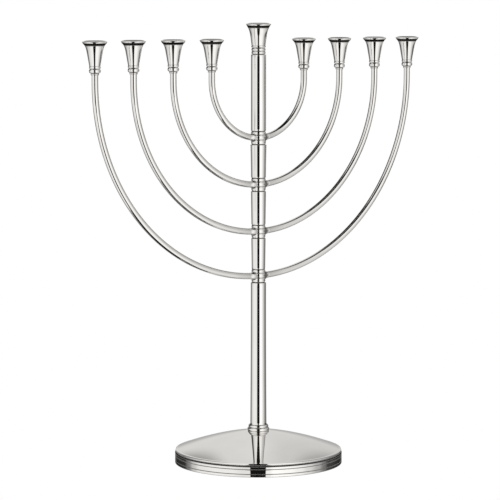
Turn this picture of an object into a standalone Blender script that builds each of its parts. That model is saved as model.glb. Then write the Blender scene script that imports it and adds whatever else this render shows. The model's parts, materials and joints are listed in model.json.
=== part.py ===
"""Nine-light menorah: a domed foot, a stacked stem on one tie rod, and four pairs of quarter-circle arms.

Metres, +Z up. The origin is on the floor, on the stem's axis, and the arms lie in the XZ plane.
The four pairs of arms are concentric, so each hub sits one arm radius below the common centre.
"""

import math

import bpy
import bmesh
from mathutils import Vector

# Clearances
GAP = 0.0003                 # between pieces that touch on the real object
RUNNING = 0.0003             # radial play round the tie rod

# Foot
FOOT_RADIUS = 0.0750
RIM_BOTTOM = 0.0003          # the rim stands this far off the floor, and the felt touches it
BAND_HEIGHT = 0.0034         # each of the rim's three reeded bands
BANDS = 3
BAND_DEPTH = 0.0006          # how far a band's crest stands out from the grooves
CREASE_RADIUS = 0.0737       # the groove between the rim and the dome's edge
CREASE_HEIGHT = 0.0107
DOME_EDGE_RADIUS = 0.0731
SHOULDER = 0.0015            # the dome's rounded edge
DOME_TOP = 0.0287
SEAT_RADIUS = 0.0100         # flat seat for the knop at the top of the dome
WALL = 0.0016
RIM_WALL = 0.0030
BALLAST_RADII = (0.0150, 0.0640)
PLATE_THICKNESS = 0.0015
FELT_THICKNESS = 0.0012
COVER_RADIUS = 0.0705        # the cover plate and the felt

# Stem
ROD_RADIUS = 0.0030
NUT_ACROSS_FLATS = 0.0100
NUT_HEIGHT = 0.0050
WASHER_RADIUS = 0.0090
WASHER_HEIGHT = 0.0016
ROD_TAIL = 0.0030            # rod that shows below the nut
ROD_GRIP = 0.0030            # rod inside the centre collar
ROD_STEPS = 16
TUBE_BORE = 0.0050
STEM_RADII = (0.0068, 0.0069, 0.0073)                             # top, waist and foot
SLEEVE_RADII = ((0.0064, 0.0060), (0.0067, 0.0063), (0.0071, 0.0066))    # top and foot, from the lowest
UPPER_STEM_RADIUS = 0.0067
KNOP_RADIUS = 0.0098
KNOP_RING_RADIUS = 0.0089
KNOP_STEP = 0.0026           # height of each of the knop's two rings
KNOP_BEAD = 0.0004
KNOP_WEB_THICKNESS = 0.0016

# Hubs
HUB_HEIGHT = 0.0117
HUB_RADII = {"inner": 0.0066, "mid_inner": 0.0064, "mid_outer": 0.0062, "outer": 0.0062}
HUB_BEADS = 3
BEAD_DEPTH = 0.0005
SPIGOT_RADIUS = 0.0046
SPIGOT_HEIGHT = 0.0015
BOSS_ROOT_RADIUS = 0.0045
BOSS_END_RADIUS = 0.0034
BOSS_END = 0.0100            # from the stem's axis
SOCKET_FLOOR = 0.0043        # from the stem's axis
KNEE = BOSS_END + 0.001      # where an arm's straight root ends and its arc begins

# Arms
ARC_CENTRE = 0.3437          # height of the arcs' common centre
PAIRS = {"inner": 0.0517, "mid_inner": 0.0933, "mid_outer": 0.1352, "outer": 0.1750}
SIDES = {"right": 0.0, "left": math.pi}
ARM_RADIUS = 0.0028
ARM_TOP = 0.3519             # the arm's end, inside the collar

# Arm cups
COLLAR_FOOT = 0.3509
NECK_RADIUS = 0.0035
NECK_HEIGHT = 0.0018
COLLAR_RADIUS = 0.0050
COLLAR_HEIGHT = 0.0034
COLLAR_BEAD = 0.0004
ARM_CUP_RIM = 0.3790
ARM_CUP_FLARE = (0.0047, 0.0033, 0.0018, 10.0)   # foot radius, taper, flare, power
ARM_CUP_LIP = 0.0108
ARM_CUP_BAND = 0.0021        # the thin ring at the cup's foot
STUD_RADIUS = 0.0022
STUD_HEIGHT = 0.0030

# Centre cup
CENTRE_SEAM = 0.3660
CENTRE_COLLAR_RADIUS = 0.0063
CENTRE_COLLAR_HEIGHT = 0.0056
CENTRE_COLLAR_BEADS = 2
CENTRE_CUP_RIM = 0.3926
CENTRE_CUP_FLARE = (0.0062, 0.0021, 0.0019, 5.0)
CENTRE_CUP_LIP = 0.0112
CENTRE_CUP_NECK = 0.0060
CENTRE_CUP_FOOT = 0.0018     # height of the plain neck at the cup's foot

# Cup tops
CROWN = 0.0011               # the top rises this much from the lip's edge to the candle's hole
CROWN_BULGE = 0.0002
LIP_HEIGHT = 0.0013          # the lip's conical outer face
LIP_SLOPE = 0.0007           # how much it narrows
LIP_GROOVE = 0.0004          # the groove's height under the lip
MOUTH_RADIUS = 0.0058        # the hole's eased edge
MOUTH_EASE = 0.0008
CANDLE_BORE = 0.0050         # radius of the socket that grips a candle
CANDLE_DEPTH = 0.0155

# Smoothness of the solids
CUP_STEPS = 12
TUBE_STEPS = 16
FOOT_STEPS = 32
TRUMPET_STEPS = 5
ARC_STEPS = 12
SHARP_ANGLE = math.radians(35)
MERGE = 0.00001              # points this close are welded


def clear_scene():
    for old in list(bpy.data.objects):
        bpy.data.objects.remove(old)


def make_collection(name):
    made = bpy.data.collections.new(name)
    bpy.context.scene.collection.children.link(made)
    return made


def make_material(name, colour, roughness, metallic):
    made = bpy.data.materials.new(name)
    made.use_nodes = True
    shader = made.node_tree.nodes["Principled BSDF"]
    shader.inputs["Base Color"].default_value = (*colour, 1.0)
    shader.inputs["Roughness"].default_value = roughness
    shader.inputs["Metallic"].default_value = metallic
    made.diffuse_color = (*colour, 1.0)
    return made


FINISHES = {
    "silver": ((0.90, 0.89, 0.87), 0.06, 1.0),
    "steel": ((0.56, 0.57, 0.58), 0.35, 1.0),
    "iron": ((0.12, 0.12, 0.13), 0.70, 0.6),
    "felt": ((0.02, 0.02, 0.03), 0.95, 0.0),
}


def place(name, mesh, finish, location=(0, 0, 0), turn=0.0, parent=None):
    """A named node with its own material. location is in the parent's frame."""
    node = bpy.data.objects.new(name, mesh)
    node.location = location
    node.rotation_euler = (0, 0, turn)
    node.parent = parent
    PARTS.objects.link(node)
    if not mesh.materials:
        mesh.materials.append(None)
    node.material_slots[0].link = "OBJECT"
    node.material_slots[0].material = make_material(name, *FINISHES[finish])
    return node


def smooth(mesh):
    mesh.shade_smooth()
    mesh.set_sharp_from_angle(angle=SHARP_ANGLE)
    return mesh


def settle(worker):
    """The worker object's evaluated mesh, and the worker removed."""
    bpy.context.view_layer.update()
    seen = worker.evaluated_get(bpy.context.evaluated_depsgraph_get())
    mesh = bpy.data.meshes.new_from_object(seen)
    bpy.data.objects.remove(worker)
    shape = bmesh.new()
    shape.from_mesh(mesh)
    bmesh.ops.remove_doubles(shape, verts=shape.verts, dist=MERGE)
    bmesh.ops.recalc_face_normals(shape, faces=shape.faces)
    shape.to_mesh(mesh)
    shape.free()
    return smooth(mesh)


def turned(name, profile, steps, ring=False):
    """A mesh turned about Z. profile is (radius, height) points down the outer side, and a ring's closes on itself."""
    points = [(radius, 0.0, height) for radius, height in profile]
    edges = [(i, i + 1) for i in range(len(points) - 1)]
    if ring:
        edges.append((len(points) - 1, 0))
    outline = bpy.data.meshes.new(name)
    outline.from_pydata(points, edges, [])
    worker = bpy.data.objects.new(name + "_profile", outline)
    bpy.context.scene.collection.objects.link(worker)
    turn = worker.modifiers.new("Turn", "SCREW")
    turn.axis = "Z"
    turn.steps = turn.render_steps = steps
    turn.use_merge_vertices = True
    turn.merge_threshold = MERGE
    return settle(worker)


def swept(name, points, radius, end_radius=None):
    """A round bar through the points, as a mesh with its caps welded. It tapers where end_radius is given."""
    curve = bpy.data.curves.new(name, "CURVE")
    curve.dimensions = "3D"
    curve.bevel_depth = radius
    curve.bevel_resolution = 2
    curve.use_fill_caps = True
    line = curve.splines.new("POLY")
    line.points.add(len(points) - 1)
    for spot, point in zip(line.points, points):
        spot.co = (*point, 1.0)
    if end_radius:
        line.points[-1].radius = end_radius / radius
    worker = bpy.data.objects.new(name, curve)
    bpy.context.scene.collection.objects.link(worker)
    return settle(worker)


def make_tool(name, mesh, turn):
    """A piece that is only joined to, or cut from, another."""
    tool = bpy.data.objects.new(name, mesh)
    tool.rotation_euler = (0, 0, turn)
    tool.hide_render = True
    tool.display_type = "WIRE"
    CUTTERS.objects.link(tool)
    return tool


def combine(worker, tool, operation):
    step = worker.modifiers.new(tool.name, "BOOLEAN")
    step.operation = operation
    step.solver = "EXACT"
    step.object = tool


def arc(centre, radius, start, end, steps):
    """Points on a circle in the (radius, height) plane, with angles in degrees from +radius."""
    angles = [math.radians(start + (end - start) * i / steps) for i in range(steps + 1)]
    return [(centre[0] + radius * math.cos(a), centre[1] + radius * math.sin(a)) for a in angles]


def bead(radius, depth, low, high, steps=2):
    """A convex bead's outline from high to low: its crest is at radius and its grooves are depth further in."""
    found = []
    for i in range(steps + 1):
        share = i / steps
        found.append((radius - depth * (2 * share - 1) ** 2, high + (low - high) * share))
    return found


def beads(radius, depth, low, high, count):
    found = []
    height = (high - low) / count
    for i in range(count):
        top = high - i * height
        found += bead(radius, depth, top - height, top)[0 if i == 0 else 1:]
    return found


# Foot ------------------------------------------------------------------------------------------

RIM_TOP = RIM_BOTTOM + BANDS * BAND_HEIGHT
SHOULDER_HEIGHT = RIM_TOP + 0.0011
DOME_RUN = DOME_EDGE_RADIUS - SEAT_RADIUS
DOME_RISE = DOME_TOP - SHOULDER_HEIGHT - SHOULDER
DOME_CONE = 0.55             # the share of the fall that is a straight cone's; the rest is a parabola's


def dome_height(radius):
    """The dome's height: a shallow cone that steepens towards the shoulder."""
    share = max(0.0, (radius - SEAT_RADIUS) / DOME_RUN)
    return DOME_TOP - DOME_RISE * (DOME_CONE * share + (1 - DOME_CONE) * share ** 2)


def dome_outline(drop, first, last, steps):
    return [
        (first + (last - first) * i / steps, dome_height(first + (last - first) * i / steps) - drop)
        for i in range(steps + 1)
    ]


def make_foot():
    bore = ROD_RADIUS + RUNNING
    outside = [(bore, DOME_TOP)] + dome_outline(0.0, SEAT_RADIUS, DOME_EDGE_RADIUS, 7)
    outside += arc((DOME_EDGE_RADIUS, SHOULDER_HEIGHT), SHOULDER, 90, 0, 2)[1:]
    outside.append((CREASE_RADIUS, CREASE_HEIGHT))
    outside += beads(FOOT_RADIUS, BAND_DEPTH, RIM_BOTTOM, RIM_TOP, BANDS)
    inner_edge = FOOT_RADIUS - BAND_DEPTH - RIM_WALL
    inside = [(inner_edge, RIM_BOTTOM), (inner_edge, dome_height(inner_edge) - WALL)]
    inside += reversed(dome_outline(WALL, SEAT_RADIUS, inner_edge - RIM_WALL, 4))
    inside.append((bore, DOME_TOP - WALL))
    place("base_shell", turned("base_shell", outside + inside, FOOT_STEPS, ring=True), "silver")

    hollow = WALL + GAP
    low = FELT_THICKNESS + PLATE_THICKNESS + 2 * GAP
    inner, outer = BALLAST_RADII
    crown = dome_outline(hollow, inner, outer, 4)
    mesh = turned("base_ballast", crown + [(outer, low), (inner, low)], FOOT_STEPS, ring=True)
    place("base_ballast", mesh, "iron")

    low = FELT_THICKNESS + GAP
    mesh = turned("base_plate", disc(COVER_RADIUS, low, low + PLATE_THICKNESS), FOOT_STEPS)
    place("base_plate", mesh, "steel")
    place("felt_pad", turned("felt_pad", disc(COVER_RADIUS, 0.0, FELT_THICKNESS), FOOT_STEPS), "felt")


def disc(radius, low, high):
    return [(0.0, high), (radius, high), (radius, low), (0.0, low)]


# Stem ------------------------------------------------------------------------------------------

KNOP_LOW = DOME_TOP + GAP
KNOP_TOP = KNOP_LOW + 2 * KNOP_STEP
KNOP_WEB = KNOP_LOW + KNOP_WEB_THICKNESS
WASHER_TOP = DOME_TOP - WALL - GAP
NUT_TOP = WASHER_TOP - WASHER_HEIGHT - GAP
ROD_LOW = NUT_TOP - NUT_HEIGHT - ROD_TAIL
ROD_TOP = CENTRE_SEAM + ROD_GRIP


def make_tube(name, radii, low, high):
    """A stem tube with a plain bore. radii are its outer radii from the top down, evenly spaced."""
    last = len(radii) - 1
    outline = [(radius, high + (low - high) * i / last) for i, radius in enumerate(radii)]
    outline += [(TUBE_BORE, low), (TUBE_BORE, high)]
    place(name, turned(name, outline, TUBE_STEPS, ring=True), "silver")


def make_knop():
    socket = STEM_RADII[-1] + GAP
    ring = bead(KNOP_RING_RADIUS, KNOP_BEAD, KNOP_LOW + KNOP_STEP, KNOP_TOP)
    foot = bead(KNOP_RADIUS, KNOP_BEAD, KNOP_LOW, KNOP_LOW + KNOP_STEP)
    bore = ROD_RADIUS + RUNNING
    inside = [(bore, KNOP_LOW), (bore, KNOP_WEB), (socket, KNOP_WEB), (socket, KNOP_TOP)]
    place("base_knop", turned("base_knop", ring + foot + inside, TUBE_STEPS, ring=True), "silver")


def make_rod_and_fasteners():
    rod = turned("tie_rod", disc(ROD_RADIUS, ROD_LOW, ROD_TOP), ROD_STEPS)
    place("tie_rod", rod, "steel")

    bore = ROD_RADIUS + RUNNING
    low = WASHER_TOP - WASHER_HEIGHT
    washer = [(WASHER_RADIUS, WASHER_TOP), (WASHER_RADIUS, low), (bore, low), (bore, WASHER_TOP)]
    place("rod_washer", turned("rod_washer", washer, TUBE_STEPS, ring=True), "steel")

    corner = NUT_ACROSS_FLATS / math.sqrt(3)
    low = NUT_TOP - NUT_HEIGHT
    worker = bpy.data.objects.new("nut", turned("rod_nut", disc(corner, low, NUT_TOP), 6))
    bpy.context.scene.collection.objects.link(worker)
    through = disc(bore, low - RUNNING, NUT_TOP + RUNNING)
    drill = make_tool("drill", turned("drill", through, ROD_STEPS), 0.0)
    combine(worker, drill, "DIFFERENCE")
    place("rod_nut", settle(worker), "steel")
    bpy.data.objects.remove(drill)


def make_stem():
    hub_heights = sorted(ARC_CENTRE - radius for radius in PAIRS.values())
    half = HUB_HEIGHT / 2 + GAP
    make_tube("lower_stem", STEM_RADII, KNOP_WEB + GAP, hub_heights[0] - half)
    for i, radii in enumerate(SLEEVE_RADII):
        make_tube(f"sleeve_{i + 1}", radii, hub_heights[i] + half, hub_heights[i + 1] - half)
    make_tube("upper_stem", (UPPER_STEM_RADIUS,) * 2, hub_heights[-1] + half, CENTRE_SEAM - GAP)


# Cups ------------------------------------------------------------------------------------------

def flare(shape, share):
    """A trumpet's outer radius: share runs from 0 under the lip to 1 at the foot."""
    foot, taper, opening, power = shape
    return foot + taper * (1 - share) + opening * (1 - share) ** power


def cup_top(shape, lip, rim, foot):
    """From the candle socket's floor, out over the crown and the lip, and down the trumpet to the foot."""
    crown = rim + CROWN
    floor = crown - CANDLE_DEPTH
    outline = [(0.0, floor), (CANDLE_BORE, floor), (CANDLE_BORE, crown - MOUTH_EASE), (MOUTH_RADIUS, crown)]
    outline.append(((MOUTH_RADIUS + lip) / 2, rim + CROWN / 2 + CROWN_BULGE))
    outline += [(lip, rim), (lip - LIP_SLOPE, rim - LIP_HEIGHT)]
    low = rim - LIP_HEIGHT - LIP_GROOVE
    for i in range(TRUMPET_STEPS + 1):
        share = i / TRUMPET_STEPS
        outline.append((flare(shape, share), low + (foot - low) * share))
    return outline


def arm_cup_mesh():
    """The cup in its own frame: the arm's axis, and the floor's height."""
    foot = COLLAR_FOOT + NECK_HEIGHT + COLLAR_HEIGHT + GAP
    body_foot = foot + ARM_CUP_BAND
    outline = cup_top(ARM_CUP_FLARE, ARM_CUP_LIP, ARM_CUP_RIM, body_foot)
    outline += bead(COLLAR_RADIUS, COLLAR_BEAD, foot, body_foot)
    hole = STUD_RADIUS + GAP
    top = foot + STUD_HEIGHT + GAP
    return turned("arm_cup", outline + [(hole, foot), (hole, top), (0.0, top)], CUP_STEPS)


def arm_collar_mesh():
    """The ring under an arm cup: a stud on top for the cup, and a socket below for the arm's end."""
    top = COLLAR_FOOT + NECK_HEIGHT + COLLAR_HEIGHT
    shoulder = COLLAR_FOOT + NECK_HEIGHT
    outline = [(0.0, top + STUD_HEIGHT), (STUD_RADIUS, top + STUD_HEIGHT), (STUD_RADIUS, top)]
    outline += bead(COLLAR_RADIUS, COLLAR_BEAD, shoulder, top)
    outline += [(NECK_RADIUS, shoulder), (NECK_RADIUS, COLLAR_FOOT)]
    socket = ARM_RADIUS + GAP
    floor = ARM_TOP + GAP
    outline += [(socket, COLLAR_FOOT), (socket, floor), (0.0, floor)]
    return turned("arm_collar", outline, CUP_STEPS)


def make_centre_cup():
    """The raised cup at the top of the stem, on a collar that the tie rod screws into."""
    top = CENTRE_SEAM + CENTRE_COLLAR_HEIGHT
    outline = [(0.0, top + STUD_HEIGHT), (STUD_RADIUS, top + STUD_HEIGHT), (STUD_RADIUS, top)]
    outline += beads(CENTRE_COLLAR_RADIUS, BEAD_DEPTH, CENTRE_SEAM, top, CENTRE_COLLAR_BEADS)
    bore = ROD_RADIUS + RUNNING
    floor = ROD_TOP + GAP
    outline += [
        (SPIGOT_RADIUS, CENTRE_SEAM),
        (SPIGOT_RADIUS, CENTRE_SEAM - SPIGOT_HEIGHT),
        (bore, CENTRE_SEAM - SPIGOT_HEIGHT),
        (bore, floor),
        (0.0, floor),
    ]
    place("centre_collar", turned("centre_collar", outline, TUBE_STEPS), "silver")

    foot = top + GAP
    outline = cup_top(CENTRE_CUP_FLARE, CENTRE_CUP_LIP, CENTRE_CUP_RIM, foot + CENTRE_CUP_FOOT)
    hole = STUD_RADIUS + GAP
    roof = foot + STUD_HEIGHT + GAP
    outline += [(CENTRE_CUP_NECK, foot), (hole, foot), (hole, roof), (0.0, roof)]
    place("centre_cup", turned("centre_cup", outline, CUP_STEPS), "silver")


# Branches --------------------------------------------------------------------------------------

def on_arc(radius, out):
    """The point on an arm's arc at that distance from the stem's axis, in its hub's frame."""
    return Vector((out, 0.0, radius - math.sqrt(radius ** 2 - out ** 2)))


def arm_points(radius):
    """An arm's centreline in its hub's frame: straight through the boss, round the arc, and up to its collar."""
    knee = math.asin(KNEE / radius)
    angles = [knee + (math.pi / 2 - knee) * i / ARC_STEPS for i in range(ARC_STEPS + 1)]
    points = [on_arc(radius, SOCKET_FLOOR + GAP)]
    points += [Vector((radius * math.sin(a), 0.0, radius * (1 - math.cos(a)))) for a in angles]
    points.append(Vector((radius, 0.0, ARM_TOP - (ARC_CENTRE - radius))))
    return points


def hub_mesh(radius, hub_radius):
    """A beaded ring with a register at each end, and a boss and socket on each side for an arm."""
    half = HUB_HEIGHT / 2
    bore = ROD_RADIUS + RUNNING
    outline = [(SPIGOT_RADIUS, half + SPIGOT_HEIGHT), (SPIGOT_RADIUS, half)]
    outline += beads(hub_radius, BEAD_DEPTH, -half, half, HUB_BEADS)
    outline += [(SPIGOT_RADIUS, -half), (SPIGOT_RADIUS, -half - SPIGOT_HEIGHT)]
    outline += [(bore, -half - SPIGOT_HEIGHT), (bore, half + SPIGOT_HEIGHT)]
    worker = bpy.data.objects.new("hub", turned("hub", outline, TUBE_STEPS, ring=True))
    bpy.context.scene.collection.objects.link(worker)

    root, knee = arm_points(radius)[:2]
    along = (knee - root) / (knee.x - root.x)
    floor = root - along * GAP
    boss_line = [floor - along * GAP, root + along * (BOSS_END - root.x)]
    boss = swept("boss", boss_line, BOSS_ROOT_RADIUS, BOSS_END_RADIUS)
    socket = swept("socket", [floor, knee], ARM_RADIUS + GAP)
    tools = []
    for kind, mesh, operation in (("boss", boss, "UNION"), ("socket", socket, "DIFFERENCE")):
        for side, turn in SIDES.items():
            tool = make_tool(f"{kind}_{side}", mesh, turn)
            combine(worker, tool, operation)
            tools.append(tool)
    mesh = settle(worker)
    for tool in tools:
        bpy.data.objects.remove(tool)
    return mesh


def make_branches():
    collar, cup = arm_collar_mesh(), arm_cup_mesh()
    for pair, radius in PAIRS.items():
        height = ARC_CENTRE - radius
        pivot = bpy.data.objects.new(f"swivel_{pair}", None)
        pivot.location = (0, 0, height)
        PARTS.objects.link(pivot)
        place(f"hub_{pair}", hub_mesh(radius, HUB_RADII[pair]), "silver", parent=pivot)
        arm = swept(f"arm_{pair}", arm_points(radius), ARM_RADIUS)
        for side, turn in SIDES.items():
            place(f"arm_{pair}_{side}", arm, "silver", turn=turn, parent=pivot)
            out = Vector((radius * math.cos(turn), radius * math.sin(turn), -height))
            place(f"collar_{pair}_{side}", collar, "silver", out, turn, pivot)
            place(f"cup_{pair}_{side}", cup, "silver", out, turn, pivot)


clear_scene()
PARTS = make_collection("menorah")
CUTTERS = make_collection("cutters")
make_foot()
make_knop()
make_rod_and_fasteners()
make_stem()
make_centre_cup()
make_branches()
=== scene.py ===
"""Nine-light silver menorah: the looks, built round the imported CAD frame. Metres, +Z up, arms in the XZ plane."""

import json
import math

import bmesh
import bpy
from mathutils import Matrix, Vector


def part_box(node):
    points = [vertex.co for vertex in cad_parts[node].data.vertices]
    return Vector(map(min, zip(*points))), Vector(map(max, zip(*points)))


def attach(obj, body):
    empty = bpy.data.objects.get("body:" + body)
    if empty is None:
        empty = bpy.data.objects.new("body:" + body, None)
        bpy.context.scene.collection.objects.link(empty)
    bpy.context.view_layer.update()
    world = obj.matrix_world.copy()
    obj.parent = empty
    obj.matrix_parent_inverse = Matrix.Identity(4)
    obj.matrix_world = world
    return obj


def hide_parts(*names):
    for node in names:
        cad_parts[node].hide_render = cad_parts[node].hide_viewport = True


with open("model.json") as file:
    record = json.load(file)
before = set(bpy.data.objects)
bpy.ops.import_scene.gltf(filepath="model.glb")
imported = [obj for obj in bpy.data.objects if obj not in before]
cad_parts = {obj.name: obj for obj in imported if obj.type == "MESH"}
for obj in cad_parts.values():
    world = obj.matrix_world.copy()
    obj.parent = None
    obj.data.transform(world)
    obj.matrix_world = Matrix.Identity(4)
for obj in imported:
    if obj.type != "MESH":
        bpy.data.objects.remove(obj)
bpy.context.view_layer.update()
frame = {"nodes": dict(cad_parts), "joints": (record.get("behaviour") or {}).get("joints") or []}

SHARP_ANGLE = math.radians(32)

PAIRS = ("inner", "mid_inner", "mid_outer", "outer")
SIDES = {"right": 1.0, "left": -1.0}


# Camera ----------------------------------------------------------------------------------------

CAMERA_AZIMUTH = math.radians(-38.0)     # the left arms come towards the camera
CAMERA_DISTANCE = 2.181                  # level distance from the stem's axis
CAMERA_HEIGHT = 0.419
CAMERA_PITCH = math.radians(5.95)        # downwards
CAMERA_YAW = math.radians(0.198)         # the stem stands a little right of the middle
LENS_MM, SENSOR_MM = 176.8, 36.0


def make_camera():
    data = bpy.data.cameras.new("camera")
    data.lens, data.sensor_width = LENS_MM, SENSOR_MM
    data.clip_start, data.clip_end = 0.05, 50.0
    camera = bpy.data.objects.new("camera", data)
    camera.location = (
        CAMERA_DISTANCE * math.sin(CAMERA_AZIMUTH),
        -CAMERA_DISTANCE * math.cos(CAMERA_AZIMUTH),
        CAMERA_HEIGHT,
    )
    camera.rotation_euler = (math.pi / 2 - CAMERA_PITCH, 0.0, CAMERA_AZIMUTH + CAMERA_YAW)
    bpy.context.scene.collection.objects.link(camera)
    bpy.context.scene.camera = camera


# Node helpers ----------------------------------------------------------------------------------

class Graph:
    """A node tree with short calls for adding and linking nodes."""

    def __init__(self, tree):
        self.tree = tree

    def add(self, kind, inputs=None, **settings):
        node = self.tree.nodes.new(kind)
        for name, value in settings.items():
            setattr(node, name, value)
        for key, value in (inputs or {}).items():
            socket = node.inputs[key]
            if isinstance(value, bpy.types.NodeSocket):
                self.tree.links.new(value, socket)
            else:
                socket.default_value = value
        return node

    def math(self, operation, first, second=0.0, third=0.0):
        node = self.add("ShaderNodeMath", {0: first, 1: second, 2: third}, operation=operation)
        return node.outputs[0]

    def ramp(self, factor, stops, interpolation="LINEAR"):
        node = self.add("ShaderNodeValToRGB", {0: factor})
        ramp = node.color_ramp
        ramp.interpolation = interpolation
        while len(ramp.elements) > 1:
            ramp.elements.remove(ramp.elements[-1])
        for i, (position, colour) in enumerate(stops):
            if i:
                element = ramp.elements.new(position)
            else:
                element = ramp.elements[0]
                element.position = position
            colour = (colour,) * 3 if isinstance(colour, (int, float)) else colour
            element.color = (*colour, 1.0)
        return node.outputs[0]

    def step(self, value, low, high):
        """0 at low and 1 at high, smoothly."""
        node = self.add(
            "ShaderNodeMapRange", {0: value, 1: low, 2: high, 3: 0.0, 4: 1.0}, interpolation_type="SMOOTHSTEP"
        )
        return node.outputs[0]

    def mix(self, factor, first, second):
        node = self.add("ShaderNodeMix", {0: factor, 6: first, 7: second}, data_type="RGBA")
        return node.outputs[2]


# Studio ----------------------------------------------------------------------------------------

# What the silver mirrors, by the angle from the camera's direction: degrees to the right, and brightness.
LEVEL = [
    (-180, 0.45), (-168, 0.40), (-158, 0.24), (-150, 0.20), (-126, 0.20), (-112, 0.44), (-104, 0.62), (-92, 0.80),
    (-60, 0.90), (-38, 0.88), (-20, 0.78), (14, 0.95), (22, 1.15), (44, 1.10), (58, 0.93), (74, 0.74),
    (90, 0.50), (103, 0.34), (114, 0.19), (150, 0.15), (158, 0.18), (168, 0.40), (180, 0.45),
]
LOW = [
    (-180, 0.30), (-166, 0.10), (-150, 0.02), (-123, 0.03), (-112, 0.20), (-100, 0.58), (-88, 0.82), (-60, 0.92),
    (-38, 0.90), (-20, 0.80), (14, 0.95), (22, 1.10), (44, 1.05), (58, 0.93), (74, 0.72), (90, 0.44),
    (103, 0.18), (112, 0.05), (150, 0.02), (166, 0.10), (180, 0.30),
]
BELOW = [
    (-180, 0.40), (-160, 0.25), (-140, 0.20), (-120, 0.35), (-90, 0.70), (-40, 0.92), (0, 0.98), (50, 0.98),
    (85, 0.72), (115, 0.48), (140, 0.40), (165, 0.28), (180, 0.40),
]
ABOVE = [
    (-180, 0.72), (-169, 0.70), (-160, 0.10), (-148, 0.03), (-115, 0.03), (-95, 0.40), (-80, 0.74), (-45, 0.88),
    (0, 0.95), (45, 0.95), (75, 0.66), (90, 0.55), (105, 0.48), (125, 0.42), (140, 0.20), (158, 0.10),
    (169, 0.62), (180, 0.72),
]
# The dark gap that the camera looks through: half its width in degrees, by a direction's upward part
GAP_HALVES = [
    (-0.84, 20.0), (-0.72, 20.5), (-0.60, 18.5), (-0.38, 16.0), (-0.31, 10.3), (-0.189, 10.3), (-0.178, 17.4),
    (0.0, 18.2), (0.34, 12.0), (0.50, 13.0), (0.64, 20.0), (0.75, 34.0), (0.85, 60.0),
]
GAP_CENTRE, GAP_SOFT = -0.4, 0.6
GAP_BRIGHTNESS = 0.008
OPEN_TOP = (0.865, 0.895)                # the same darkness straight up, and in the shadow straight down
WARMTH = (1.0, 0.994, 0.978)


def make_world():
    world = bpy.data.worlds.new("studio")
    bpy.context.scene.world = world
    world.use_nodes = True
    world.node_tree.nodes.clear()
    g = Graph(world.node_tree)
    direction = g.add("ShaderNodeTexCoord").outputs["Generated"]
    to_camera = (math.sin(CAMERA_AZIMUTH), -math.cos(CAMERA_AZIMUTH), 0.0)
    to_right = (math.cos(CAMERA_AZIMUTH), math.sin(CAMERA_AZIMUTH), 0.0)
    ahead = g.add("ShaderNodeVectorMath", {0: direction, 1: to_camera}, operation="DOT_PRODUCT").outputs["Value"]
    aside = g.add("ShaderNodeVectorMath", {0: direction, 1: to_right}, operation="DOT_PRODUCT").outputs["Value"]
    up = g.add("ShaderNodeSeparateXYZ", {0: direction}).outputs["Z"]
    degrees = g.math("MULTIPLY", g.math("ARCTAN2", aside, ahead), 180 / math.pi)
    turn = g.math("ADD", g.math("DIVIDE", degrees, 360.0), 0.5)

    def around(table):
        return g.ramp(turn, [(angle / 360 + 0.5, value) for angle, value in table], "EASE")

    colour = g.mix(g.step(up, 0.0, 0.22), around(LEVEL), around(ABOVE))
    colour = g.mix(g.step(up, -0.178, -0.189), colour, around(LOW))
    colour = g.mix(g.step(up, -0.20, -0.36), colour, around(BELOW))
    off_gap = g.math("ABSOLUTE", g.math("SUBTRACT", degrees, GAP_CENTRE))
    half = g.ramp(g.math("MULTIPLY_ADD", up, 0.5, 0.5), [(z / 2 + 0.5, width / 180) for z, width in GAP_HALVES])
    inside = g.math("SUBTRACT", g.math("MULTIPLY", half, 180.0), off_gap)
    gap = g.math("MAXIMUM", g.step(inside, -GAP_SOFT, GAP_SOFT), g.step(g.math("ABSOLUTE", up), *OPEN_TOP))
    colour = g.mix(gap, colour, (GAP_BRIGHTNESS,) * 3 + (1.0,))
    colour = g.add(
        "ShaderNodeMix", {0: 1.0, 6: colour, 7: (*WARMTH, 1.0)}, data_type="RGBA", blend_type="MULTIPLY"
    ).outputs[2]
    seen = g.add("ShaderNodeLightPath").outputs["Is Camera Ray"]
    colour = g.mix(seen, colour, (1.0, 1.0, 1.0, 1.0))
    back = g.add("ShaderNodeBackground", {"Color": colour, "Strength": 1.0})
    g.add("ShaderNodeOutputWorld", {"Surface": back.outputs[0]})


def make_floor():
    """A plain white sweep. The silver mirrors the studio's lights, not the paper it stands on."""
    mesh = bpy.data.meshes.new("floor")
    half = 6.0
    mesh.from_pydata([(-half, -half, 0), (half, -half, 0), (half, half, 0), (-half, half, 0)], [], [(0, 1, 2, 3)])
    floor = bpy.data.objects.new("floor", mesh)
    bpy.context.scene.collection.objects.link(floor)
    floor.visible_glossy = floor.visible_diffuse = False
    paper = bpy.data.materials.new("paper")
    paper.use_nodes = True
    paper.node_tree.nodes.clear()
    g = Graph(paper.node_tree)
    light = g.add("ShaderNodeEmission", {"Color": (1.0, 1.0, 1.0, 1.0), "Strength": 1.0})
    g.add("ShaderNodeOutputMaterial", {"Surface": light.outputs[0]})
    mesh.materials.append(paper)


def set_colour():
    view = bpy.context.scene.view_settings
    view.view_transform, view.look, view.exposure, view.gamma = "Standard", "None", 0.0, 1.0


# Materials -------------------------------------------------------------------------------------

def new_material(name):
    made = bpy.data.materials.new(name)
    made.use_nodes = True
    made.node_tree.nodes.clear()
    g = Graph(made.node_tree)
    shader = g.add("ShaderNodeBsdfPrincipled")
    g.add("ShaderNodeOutputMaterial", {"Surface": shader.outputs[0]})
    where = g.add("ShaderNodeTexCoord").outputs["Object"]
    return made, g, shader, where


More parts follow.
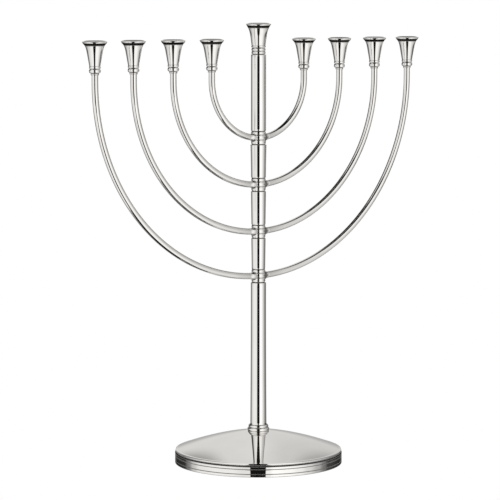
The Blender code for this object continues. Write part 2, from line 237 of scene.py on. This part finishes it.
def noise(g, where, scale, detail=2.0, roughness=0.5, stretch=None):
    if stretch:
        where = g.add("ShaderNodeMapping", {"Vector": where, "Scale": stretch}).outputs[0]
    node = g.add("ShaderNodeTexNoise", {"Vector": where, "Scale": scale, "Detail": detail, "Roughness": roughness})
    return node.outputs[0]


def silver(name, lines):
    """Mirror-polished plate: faint warm and cool patches, hazy wipe marks, hairlines, and painted shade in the
    grooves and hollows.
    lines stretches the hairlines: along a turned piece's rings, or along an arm."""
    made, g, shader, where = new_material(name)
    shader.inputs["Specular IOR Level"].default_value = 0.0
    # a per-point attribute paints shade: it makes the silver near-black, dull and not metallic in grooves, creases
    # and hollows
    soil = g.add("ShaderNodeAttribute", attribute_name="soil").outputs["Fac"]
    g.tree.links.new(g.math("SUBTRACT", 1.0, soil), shader.inputs["Metallic"])
    patches = noise(g, where, 38.0, 3.0)
    haze = noise(g, where, 120.0, 4.0, 0.6)
    hairs = noise(g, where, 900.0, 2.0, 0.5, lines)
    bare_silver = g.ramp(patches, [(0.35, (0.925, 0.912, 0.890)), (0.65, (0.955, 0.946, 0.930))])
    # the near-black colour of the painted shade
    painted_shade_colour = g.ramp(haze, [(0.3, (0.006, 0.006, 0.005)), (0.7, (0.022, 0.020, 0.018))])
    g.tree.links.new(g.mix(soil, bare_silver, painted_shade_colour), shader.inputs["Base Color"])
    rough = g.math("MULTIPLY_ADD", g.step(haze, 0.52, 0.80), 0.022, 0.012)
    rough = g.math("ADD", rough, g.math("MULTIPLY", g.step(hairs, 0.60, 0.85), 0.012))
    rough = g.math("ADD", rough, g.math("MULTIPLY", soil, 0.06))
    g.tree.links.new(rough, shader.inputs["Roughness"])
    bump = g.add("ShaderNodeBump", {"Height": noise(g, where, 40.0, 1.0), "Strength": 0.05, "Distance": 0.0004})
    g.tree.links.new(bump.outputs[0], shader.inputs["Normal"])
    return made


def machined(name, dark, light, roughness, lines, scale=700.0, depth=0.3, metallic=1.0):
    made, g, shader, where = new_material(name)
    shader.inputs["Metallic"].default_value = metallic
    grain = noise(g, where, scale, 4.0, 0.6, lines)
    blotch = noise(g, where, 60.0, 3.0)
    mixed = g.math("MULTIPLY_ADD", blotch, 0.5, g.math("MULTIPLY", grain, 0.5))
    g.tree.links.new(g.ramp(mixed, [(0.35, dark), (0.65, light)]), shader.inputs["Base Color"])
    low, high = roughness
    g.tree.links.new(g.math("MULTIPLY_ADD", grain, high - low, low), shader.inputs["Roughness"])
    bump = g.add("ShaderNodeBump", {"Height": grain, "Strength": depth, "Distance": 0.0003})
    g.tree.links.new(bump.outputs[0], shader.inputs["Normal"])
    return made


HALF_PITCH = 0.0005                      # the rod's thread


def threaded(name):
    """The tie rod: drawn steel with a fine thread along it, the thread's roots darkened with painted shade."""
    made, g, shader, where = new_material(name)
    shader.inputs["Metallic"].default_value = 1.0
    height = g.add("ShaderNodeSeparateXYZ", {0: where}).outputs["Z"]
    ridge = g.math("PINGPONG", height, HALF_PITCH)
    ridge = g.math("MULTIPLY", ridge, 1.0 / HALF_PITCH)
    grain = noise(g, where, 900.0, 3.0)
    # painted shade: the thread's roots are darker than its crests
    steel_and_thread_shade = g.ramp(ridge, [(0.1, (0.16, 0.16, 0.165)), (0.7, (0.50, 0.51, 0.52))])
    g.tree.links.new(steel_and_thread_shade, shader.inputs["Base Color"])
    g.tree.links.new(g.math("MULTIPLY_ADD", grain, 0.25, 0.22), shader.inputs["Roughness"])
    bump = g.add("ShaderNodeBump", {"Height": ridge, "Strength": 0.8, "Distance": 0.0004})
    g.tree.links.new(bump.outputs[0], shader.inputs["Normal"])
    return made


def felted(name):
    """Pressed wool felt: short crossed fibres over a mottled dark ground."""
    made, g, shader, where = new_material(name)
    shader.inputs["Metallic"].default_value = 0.0
    shader.inputs["Sheen Weight"].default_value = 0.5
    shader.inputs["Sheen Roughness"].default_value = 0.6
    across = noise(g, where, 900.0, 3.0, 0.6, (1.0, 0.16, 1.0))
    along = noise(g, where, 900.0, 3.0, 0.6, (0.16, 1.0, 1.0))
    fibres = g.math("MAXIMUM", across, along)
    mottle = noise(g, where, 90.0, 3.0)
    mixed = g.math("MULTIPLY_ADD", mottle, 0.4, g.math("MULTIPLY", fibres, 0.6))
    g.tree.links.new(
        g.ramp(mixed, [(0.38, (0.006, 0.006, 0.009)), (0.55, (0.020, 0.020, 0.026)), (0.72, (0.060, 0.060, 0.072))]),
        shader.inputs["Base Color"],
    )
    g.tree.links.new(g.math("MULTIPLY_ADD", fibres, 0.15, 0.82), shader.inputs["Roughness"])
    bump = g.add("ShaderNodeBump", {"Height": fibres, "Strength": 0.7, "Distance": 0.0005})
    g.tree.links.new(bump.outputs[0], shader.inputs["Normal"])
    return made


# Mesh helpers ----------------------------------------------------------------------------------

def finish_mesh(name, points, faces, soil):
    mesh = bpy.data.meshes.new(name)
    mesh.from_pydata(points, [], faces)
    # the per-point darkness painted into the silver, mostly painted shade
    attribute = mesh.attributes.new("soil", "FLOAT", "POINT")
    attribute.data.foreach_set("value", soil)
    shape = bmesh.new()
    shape.from_mesh(mesh)
    bmesh.ops.recalc_face_normals(shape, faces=shape.faces)
    shape.to_mesh(mesh)
    shape.free()
    mesh.shade_smooth()
    mesh.set_sharp_from_angle(angle=SHARP_ANGLE)
    return mesh


def lathe(name, outline, steps, loop=False, centre=(0.0, 0.0)):
    """A mesh turned about a vertical line. outline is (radius, height) or (radius, height, darkness) points, the
    darkness painted into the silver's colour, mostly as painted shade.
    """
    points, faces, soil, rings = [], [], [], []
    for entry in outline:
        radius, height = entry[:2]
        dark_paint = entry[2] if len(entry) > 2 else 0.0
        first = len(points)
        count = 1 if radius < 1e-7 else steps
        for i in range(count):
            turn = 2 * math.pi * i / steps
            points.append((centre[0] + radius * math.cos(turn), centre[1] + radius * math.sin(turn), height))
            soil.append(dark_paint)
        rings.append((first, count))
    pairs = list(zip(rings, rings[1:])) + ([(rings[-1], rings[0])] if loop else [])
    for (a, many_a), (b, many_b) in pairs:
        for i in range(steps):
            j = (i + 1) % steps
            if many_a == 1 and many_b == 1:
                continue
            if many_a == 1:
                faces.append((a, b + i, b + j))
            elif many_b == 1:
                faces.append((a + i, b, a + j))
            else:
                faces.append((a + i, b + i, b + j, a + j))
    return finish_mesh(name, points, faces, soil)


def tube(name, path, radii, sides, soil=None):
    """A round bar along a path in a vertical plane, with a radius at each point and flat ends."""
    points, faces, dark_paint = [], [], []
    soil = soil or [0.0] * len(path)
    side = Vector((0.0, 1.0, 0.0))
    for k, here in enumerate(path):
        along = (path[min(k + 1, len(path) - 1)] - path[max(k - 1, 0)]).normalized()
        level = side - along * side.dot(along)
        level.normalize()
        upright = along.cross(level)
        for i in range(sides):
            turn = 2 * math.pi * i / sides
            points.append(tuple(here + (level * math.cos(turn) + upright * math.sin(turn)) * radii[k]))
            dark_paint.append(soil[k])
    for k in range(len(path) - 1):
        for i in range(sides):
            j = (i + 1) % sides
            faces.append((k * sides + i, k * sides + j, (k + 1) * sides + j, (k + 1) * sides + i))
    for ring, end in ((0, path[0]), ((len(path) - 1) * sides, path[-1])):
        points.append(tuple(end))
        dark_paint.append(soil[0])
        for i in range(sides):
            faces.append((ring + i, ring + (i + 1) % sides, len(points) - 1))
    return finish_mesh(name, points, faces, dark_paint)


def joined(name, meshes):
    """Several closed shells as one piece's mesh."""
    shape = bmesh.new()
    for mesh in meshes:
        shape.from_mesh(mesh)
    made = bpy.data.meshes.new(name)
    shape.to_mesh(made)
    shape.free()
    made.shade_smooth()
    made.set_sharp_from_angle(angle=SHARP_ANGLE)
    return made


def add_piece(name, mesh, material, body, slot, *nodes):
    piece = bpy.data.objects.new(name, mesh)
    bpy.context.scene.collection.objects.link(piece)
    mesh.materials.clear()
    mesh.materials.append(material)
    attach(piece, body)
    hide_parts(*nodes)
    return piece


def arc(centre, radius, start, end, steps):
    """(radius, height) points on a circle, with angles in degrees from outwards."""
    angles = [math.radians(start + (end - start) * i / steps) for i in range(steps + 1)]
    return [(centre[0] + radius * math.cos(a), centre[1] + radius * math.sin(a)) for a in angles]


def band(radius, depth, high, low, power=2.4, steps=14, groove_shade=1.0, edge=0.86):
    """A reeded band's outline from high to low: full in the middle, and rounding into a groove with painted shade at
    each edge.
    """
    found = []
    for i in range(steps + 1):
        s = -math.cos(math.pi * i / steps)
        inward = abs(s) ** power
        # painted shade, rising to full at each groove
        dark_paint = groove_shade * max(0.0, (abs(s) - edge) / (1 - edge))
        found.append((radius - depth * inward, (high + low) / 2 + s * (low - high) / 2, dark_paint))
    return found


END_SHADE = {1: 0.5, -1: 0.9}            # painted shade on a tube's eased corner: at its top, and at its bottom


def eased(radius, height, turn, size, steps=3):
    """A small rounded corner on a tube's end. turn is 1 at the top and -1 at the bottom."""
    found = []
    for i in range(steps + 1):
        a = math.pi / 2 * i / steps
        a = math.pi / 2 - a if turn > 0 else -a
        # painted shade, strongest where the corner turns into the tube's end
        dark_paint = END_SHADE[turn] * abs(math.sin(a)) ** 3
        found.append((radius - size + size * math.cos(a), height - turn * size + size * math.sin(a), dark_paint))
    return found


# Foot ------------------------------------------------------------------------------------------

FOOT_STEPS = 192
RIM_BANDS = (0.0024, 0.0042, 0.0026)     # from the top
BAND_DEPTH, BAND_POWER = 0.00010, 20.0   # nearly flat bands with narrow grooves
GROOVE_SHADE = 0.0010                    # the painted shade's height in a groove, over its two edges
DOME_EDGE_RADIUS = 0.0731
SHOULDER = 0.0015
SHOULDER_RISE = 0.0015                   # from the rim's top to the middle of the shoulder's curve
SHOULDER_START, SHOULDER_END = 71, -8    # the curve's angles, from outwards
FOLD = (67.0, 15.0)                      # the shoulder is creased between these angles
# painted shade down the shoulder's lower turn
SHOULDER_SHADE = 0.5
CREASE, CREASE_LIP = 0.0737, 0.0003      # the line under the dome: its radius, and how far its edges stand out
# painted shade in the crease under the dome
CREASE_SHADE = 0.9
SHELL_SHADE = 0.3                        # painted shade on the inside
DOME_CONE = 0.55
SEAT_RADIUS = 0.0100
WALL = 0.0016
RIM_WALL = 0.0030
BORE = 0.0033
EASE = 0.00025


def make_foot(material):
    low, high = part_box("base_shell")
    radius, top, bottom = high.x, high.z, low.z
    rim_top = bottom + sum(RIM_BANDS)
    edge = DOME_EDGE_RADIUS
    rise = top - rim_top - SHOULDER_RISE - SHOULDER

    def dome(r):
        share = max(0.0, (r - SEAT_RADIUS) / (edge - SEAT_RADIUS))
        return top - rise * (DOME_CONE * share + (1 - DOME_CONE) * share ** 2)

    def spread(first, last, steps, drop=0.0):
        return [(first + (last - first) * i / steps, dome(first + (last - first) * i / steps) - drop)
                for i in range(steps + 1)]

    outline = [(BORE, top), (SEAT_RADIUS * 0.98, top)] + spread(SEAT_RADIUS, edge, 60)
    middle = (edge, rim_top + SHOULDER_RISE)
    bend = math.radians(FOLD[0] - FOLD[1]) / 2
    centre_line = sum(FOLD) / 2
    outline += arc(middle, SHOULDER, SHOULDER_START, FOLD[0], 2)[:-1]
    outline += arc(middle, SHOULDER / math.cos(bend), centre_line, centre_line, 1)[:1]
    low_turn = arc(middle, SHOULDER, FOLD[1], SHOULDER_END, 8)
    # painted shade, growing down the shoulder's lower turn into the crease
    outline += [(r, z, SHOULDER_SHADE * (i / 8) ** 2) for i, (r, z) in enumerate(low_turn) if i]
    for out, up in ((CREASE_LIP, CREASE_LIP), (0.0, CREASE_LIP / 2), (CREASE_LIP, 0.0)):
        outline.append((CREASE + out, rim_top + up, CREASE_SHADE))
    start = rim_top
    for height in RIM_BANDS:
        end = start - height
        # painted shade in the grooves between the rim's bands
        outline += band(radius, BAND_DEPTH, start, end, BAND_POWER, steps=40, edge=1 - GROOVE_SHADE / height)
        start = end
    inner = radius - BAND_DEPTH - RIM_WALL
    # painted shade over the shell's inside
    outline += [(inner, bottom, SHELL_SHADE), (inner, dome(inner) - WALL, SHELL_SHADE)]
    outline += [(r, z, SHELL_SHADE) for r, z in reversed(spread(SEAT_RADIUS, inner - 0.003, 20, WALL))]
    outline.append((BORE, top - WALL, SHELL_SHADE))
    mesh = lathe("foot", outline, FOOT_STEPS, loop=True)
    add_piece("foot", mesh, material, "stand", "polished_silver", "base_shell")


# Stem ------------------------------------------------------------------------------------------

STEM_STEPS = 96
TUBE_BORE = 0.0050
SEAT_GAP = 0.00025                       # the foot ring comes down this much, onto the dome


KNOP_STEP = 0.0009                       # the upper ring is this much smaller
KNOP_BEAD, KNOP_POWER = 0.0005, 2.6
# painted shade in the knop's grooves
KNOP_SHADE = 0.25
KNOP_SOCKET = 0.0076                     # the hole that the stem stands in
KNOP_WEB = 0.0016


def make_knop(material):
    low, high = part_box("base_knop")
    bottom, top, radius = low.z, high.z, high.x
    middle = (bottom + top) / 2
    ring = radius - KNOP_STEP
    seat, web = bottom - SEAT_GAP, bottom + KNOP_WEB
    # painted shade in the socket, in the rings' grooves, and under the knop
    outline = [(KNOP_SOCKET, top, 0.8), (ring - KNOP_BEAD, top, 0.2)]
    outline += band(ring, KNOP_BEAD, top, middle, KNOP_POWER, groove_shade=KNOP_SHADE)[1:]
    outline += band(radius, KNOP_BEAD, middle, seat, KNOP_POWER, groove_shade=KNOP_SHADE)
    outline += [(BORE, seat, 0.9), (BORE, web, 0.9), (KNOP_SOCKET, web, 0.9)]
    mesh = lathe("knop", outline, STEM_STEPS, loop=True)
    add_piece("knop", mesh, material, "stand", "polished_silver", "base_knop")


def tube_piece(node, material, ends):
    """A stem tube. ends is the outside radius at the foot, the middle and the top."""
    low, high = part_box(node)
    foot, waist, head = ends
    outline = eased(head, high.z, 1, EASE)
    count = 24
    for i in range(1, count):
        share = i / count
        height = high.z - EASE + (low.z - high.z + 2 * EASE) * share
        straight = head + (foot - head) * share
        bow = (waist - (foot + head) / 2) * (1 - (2 * share - 1) ** 2)
        outline.append((straight + bow, height))
    outline += eased(foot, low.z, -1, EASE)
    # painted shade inside the bore
    outline += [(TUBE_BORE, low.z, 0.9), (TUBE_BORE, high.z, 0.9)]
    mesh = lathe(node + "_skin", outline, STEM_STEPS, loop=True)
    add_piece(node + "_skin", mesh, material, "stand", "polished_silver", node)


# Cups ------------------------------------------------------------------------------------------

CUP_STEPS = 96
CANDLE_BORE = 0.0050
CANDLE_DEPTH = 0.0155
MOUTH = (0.0058, 0.0008)                # the hole's eased edge: its radius and its height
CROWN, CROWN_POWER = 0.0011, 2.2        # the top rises from the lip's edge, and flattens round the hole
CROWN_DARK = (0.60, 0.96, 0.75)          # darkened out to the first share of the crown, plain past the second; how dark
LIP_HEIGHT, LIP_SLOPE = 0.0013, 0.0007  # the lip's conical face
LIP_EDGE = 0.00012
LIP_GROOVE = 0.0004
LIP_SHADE = 0.0007                      # the painted shade under the lip ends three of these down


def cup_outline(top, foot, lip, shape, steps=60):
    """From the middle of the candle socket, out over the crown and the lip, and down the trumpet to the foot.
    shape is the foot's radius, its taper, how far it flares, and how late it does."""
    base, taper, opening, power = shape
    rim = top - CROWN
    floor = top - CANDLE_DEPTH
    mouth, ease = MOUTH
    # painted shade down the candle socket and round its mouth
    found = [(0.0, floor, 0.9), (CANDLE_BORE * 0.9, floor, 0.9), (CANDLE_BORE, floor + 0.0004, 0.9)]
    found += [(CANDLE_BORE, floor + 0.004, 0.9), (CANDLE_BORE, top - ease - 0.002, 0.95)]
    found.append((CANDLE_BORE, top - ease, 0.9))
    found += [(mouth - 0.0003, top - 0.0003, 0.95), (mouth, top - 0.00004, 0.95)]
    for i in range(1, 17):
        share = i / 16
        height = top - CROWN * share ** CROWN_POWER
        near, far, dark = CROWN_DARK
        # darker round the candle hole, fading out across the crown
        crown_dark = dark * min(1.0, max(0.0, (far - share) / (far - near)))
        found.append((mouth + (lip - LIP_EDGE - mouth) * share, height, crown_dark))
    found += arc((lip - LIP_EDGE, rim - LIP_EDGE), LIP_EDGE, 65, -28, 5)
    found += [(lip - LIP_SLOPE * share, rim - LIP_HEIGHT * share, 0.0) for share in (0.3, 0.6, 0.9)]
    # painted shade in the groove under the lip
    found.append((lip - LIP_SLOPE, rim - LIP_HEIGHT, 0.95))
    start = rim - LIP_HEIGHT - LIP_GROOVE
    run = start - foot
    for i in range(steps + 1):
        up = 1 - i / steps
        radius = base + taper * up + opening * up ** power
        below = (1 - up) * run
        # painted shade under the lip, fading out down the trumpet
        found.append((radius, foot + run * up, min(1.0, max(0.0, 3.0 - below / LIP_SHADE))))
    return found


ARM_FLARE = (0.0047, 0.0033, 0.0018, 10.0)
CENTRE_FLARE = (0.0062, 0.0021, 0.0019, 5.0)


def make_cup(name, node, body, material, centre, shape, foot_band):
    low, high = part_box(node)
    top, foot, lip = high.z, low.z, (high.x - low.x) / 2
    outline = cup_outline(top, foot + foot_band, lip, shape)
    # painted shade in the foot's groove and in the hole underneath
    outline += band(shape[0] + 0.0002, 0.0004, foot + foot_band, foot, groove_shade=0.6)
    hole = 0.0025
    outline += [(hole, foot, 0.9), (hole, foot + 0.0033, 0.9), (0.0, foot + 0.0033, 0.9)]
    mesh = lathe(name, outline, CUP_STEPS, centre=centre)
    add_piece(name, mesh, material, body, "polished_silver", node)


def make_collar(name, node, body, material, centre):
    """The ring under an arm cup, with a stud above and a socket below."""
    low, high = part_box(node)
    radius = (high.x - low.x) / 2
    foot, stud = low.z, high.z
    shoulder, top = foot + 0.0018, stud - 0.0030
    neck, pin, socket = 0.0035, 0.0022, 0.0031
    # painted shade at the stud's root, in the ring's grooves, at the neck and in the socket
    outline = [(0.0, stud), (pin - 0.0002, stud), (pin, stud - 0.0002), (pin, top, 0.9)]
    outline += band(radius, 0.0007, top, shoulder, groove_shade=0.7)
    outline += [(neck + 0.0001, shoulder - 0.0001, 0.9), (neck, shoulder - 0.0003, 0.4), (neck, foot + 0.0002)]
    blind = foot + 0.0013
    outline += [(neck - 0.0002, foot, 0.5), (socket, foot, 0.9), (socket, blind, 0.9), (0.0, blind, 0.9)]
    mesh = lathe(name, outline, CUP_STEPS, centre=centre)
    add_piece(name, mesh, material, body, "polished_silver", node)


def make_centre_collar(material):
    low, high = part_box("centre_collar")
    radius = high.x
    stud, spigot_foot = high.z, low.z
    top, seam = stud - 0.0030, spigot_foot + 0.0015
    middle = (top + seam) / 2
    pin, spigot = 0.0022, 0.0046
    # painted shade at the stud's root, in the grooves, and on the spigot and bore
    outline = [(0.0, stud), (pin, stud), (pin, top, 0.9)]
    outline += band(radius, 0.0007, top, middle, groove_shade=0.8)
    outline += band(radius, 0.0007, middle, seam, groove_shade=0.8)[1:]
    blind = seam + 0.0033
    outline += [(spigot, seam, 0.9), (spigot, spigot_foot, 0.9), (BORE, spigot_foot, 0.9), (BORE, blind, 0.9)]
    outline.append((0.0, blind, 0.9))
    mesh = lathe("centre_collar_skin", outline, STEM_STEPS)
    add_piece("centre_collar_skin", mesh, material, "stand", "polished_silver", "centre_collar")


# Branches --------------------------------------------------------------------------------------

ARM_RADIUS = 0.0028
ARM_STEPS = 128
ARM_SIDES = 40
KNEE = 0.011
BOSS_START = 0.0046
ROOT_OUT, ROOT_LENGTH, ROOT_FLARE = 0.0058, 0.0038, 0.0013   # the brazed root's cone
ROOT_SHADE = {1.0: 0.65, -1.0: 0.15}     # painted shade at the root, where the arm meets the hub: how dark on each side
ARM_DARKENING, DARKENED_LENGTH = 0.2, 0.022  # how much darker an arm is near the hub, and how far out that reaches
HUB_HEIGHT = 0.0117
SPIGOT_RADIUS = 0.0046
HUB_RINGS = (3.5, 4.7, 4.6)              # the rings' shares of a hub, from the top


def arm_path(radius, pivot, sign, top):
    """An arm's centreline: straight out of its boss, round the arc, and up into its collar."""
    def on_circle(angle):
        return Vector((sign * radius * math.sin(angle), 0.0, pivot + radius * (1 - math.cos(angle))))

    knee = math.asin(KNEE / radius)
    start = math.asin(BOSS_START / radius)
    root, bend = on_circle(start), on_circle(knee)
    path = [root + (bend - root) * i / 6 for i in range(6)]
    path += [on_circle(knee + (math.pi / 2 - knee) * i / ARM_STEPS) for i in range(ARM_STEPS + 1)]
    rise = top - pivot - radius
    path += [Vector((sign * radius, 0.0, pivot + radius + rise * i / 4)) for i in range(1, 5)]
    return path


def boss_mesh(radius, pivot, sign):
    """The brazed root: a trumpet that hugs the hub and thins to the arm."""
    root, bend = (arm_path(radius, pivot, sign, pivot + radius + 0.01)[i] for i in (0, 6))
    along = (bend - root).normalized()
    length = (bend - root).length
    spots = [0.0004 + (length - 0.0008) * i / 24 for i in range(25)]
    path = [root - along * 0.0004] + [root + along * s for s in spots]
    left = [max(0.0, 1 - max(0.0, BOSS_START + s - ROOT_OUT) / ROOT_LENGTH) for s in [0.0] + spots]
    radii = [ARM_RADIUS + 0.00004 + ROOT_FLARE * share ** 1.6 for share in left]
    root_shade = ROOT_SHADE[sign]
    # painted shade where the root meets the hub, darker on the right arms
    soil = [0.15 * share + root_shade * min(1.0, max(0.0, (share - 0.55) / 0.2)) for share in left]
    return tube("boss", path, radii, 64, soil)


def hub_ring_mesh(radius, pivot):
    half = HUB_HEIGHT / 2
    # painted shade on the spigots, in the rings' grooves and down the bore
    outline = [(SPIGOT_RADIUS, pivot + half + 0.0015, 0.9), (SPIGOT_RADIUS, pivot + half, 0.9)]
    total = sum(HUB_RINGS)
    high = pivot + half
    for i, share in enumerate(HUB_RINGS):
        low = high - HUB_HEIGHT * share / total
        outline += band(radius, 0.00065, high, low, groove_shade=0.7)[0 if i == 0 else 1:]
        high = low
    outline += [(SPIGOT_RADIUS, pivot - half, 0.9), (SPIGOT_RADIUS, pivot - half - 0.0015, 0.9)]
    outline += [(BORE, pivot - half - 0.0015, 0.9), (BORE, pivot + half + 0.0015, 0.9)]
    return lathe("hub", outline, STEM_STEPS, loop=True)


HUB_RADII = {"inner": 0.0066, "mid_inner": 0.0064, "mid_outer": 0.0062, "outer": 0.0062}


def make_branch(pair, turned_silver, drawn_silver, pivot):
    body = f"branch_{pair}"
    cup_low, cup_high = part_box(f"cup_{pair}_right")
    radius = (cup_low.x + cup_high.x) / 2
    shells = [hub_ring_mesh(HUB_RADII[pair], pivot)] + [boss_mesh(radius, pivot, sign) for sign in SIDES.values()]
    hub = f"hub_{pair}"
    add_piece(hub + "_skin", joined(hub, shells), turned_silver, body, "polished_silver", hub)
    for side, sign in SIDES.items():
        tail = f"{pair}_{side}"
        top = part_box(f"arm_{tail}")[1].z
        path = arm_path(radius, pivot, sign, top)
        # darker near the hub, fading out along the arm
        soil = [ARM_DARKENING * max(0.0, 1 - (abs(spot.x) - HUB_RADII[pair]) / DARKENED_LENGTH) for spot in path]
        mesh = tube("arm_" + tail, path, [ARM_RADIUS] * len(path), ARM_SIDES, soil)
        add_piece(f"arm_{tail}_skin", mesh, drawn_silver, body, "polished_silver", "arm_" + tail)
        centre = (sign * radius, 0.0)
        make_collar(f"collar_{tail}_skin", "collar_" + tail, body, turned_silver, centre)
        make_cup(f"cup_{tail}_skin", "cup_" + tail, body, turned_silver, centre, ARM_FLARE, 0.0021)


# Assembly --------------------------------------------------------------------------------------

make_camera()
make_world()
make_floor()
set_colour()

turned_silver = silver("silver_turned", (0.10, 0.10, 6.0))
drawn_silver = silver("silver_drawn", (1.0, 1.0, 0.25))

make_foot(turned_silver)
make_knop(turned_silver)
tube_piece("lower_stem", turned_silver, (0.0073, 0.0069, 0.0068))
tube_piece("sleeve_1", turned_silver, (0.0060, 0.0062, 0.0064))
tube_piece("sleeve_2", turned_silver, (0.0063, 0.0065, 0.0067))
tube_piece("sleeve_3", turned_silver, (0.0066, 0.0068, 0.0071))
tube_piece("upper_stem", turned_silver, (0.0067, 0.0067, 0.0067))
make_centre_collar(turned_silver)
make_cup("centre_cup_skin", "centre_cup", "stand", turned_silver, (0.0, 0.0), CENTRE_FLARE, 0.0018)

pivots = {joint["child"]: joint["pos_m"][2] for joint in frame["joints"]}
for pair in PAIRS:
    make_branch(pair, turned_silver, drawn_silver, pivots[f"branch_{pair}"])

HIDDEN = {
    "base_ballast": machined("iron_cast", (0.030, 0.030, 0.032), (0.10, 0.10, 0.11), (0.55, 0.85),
                             None, 260.0, 0.8, 0.6),
    "base_plate": machined("steel_sheet", (0.42, 0.43, 0.44), (0.62, 0.63, 0.64), (0.25, 0.45), (1.0, 0.04, 1.0)),
    "felt_pad": felted("felt_pressed"),
    "tie_rod": threaded("steel_thread"),
    "rod_nut": machined("steel_zinc", (0.40, 0.41, 0.40), (0.66, 0.66, 0.63), (0.22, 0.42), (1.0, 1.0, 0.2)),
    "rod_washer": machined("steel_washer", (0.38, 0.39, 0.40), (0.60, 0.61, 0.61), (0.25, 0.50), (0.3, 0.3, 1.0)),
}
for node, material in HIDDEN.items():
    for place in frame["nodes"][node].material_slots:
        place.material = material
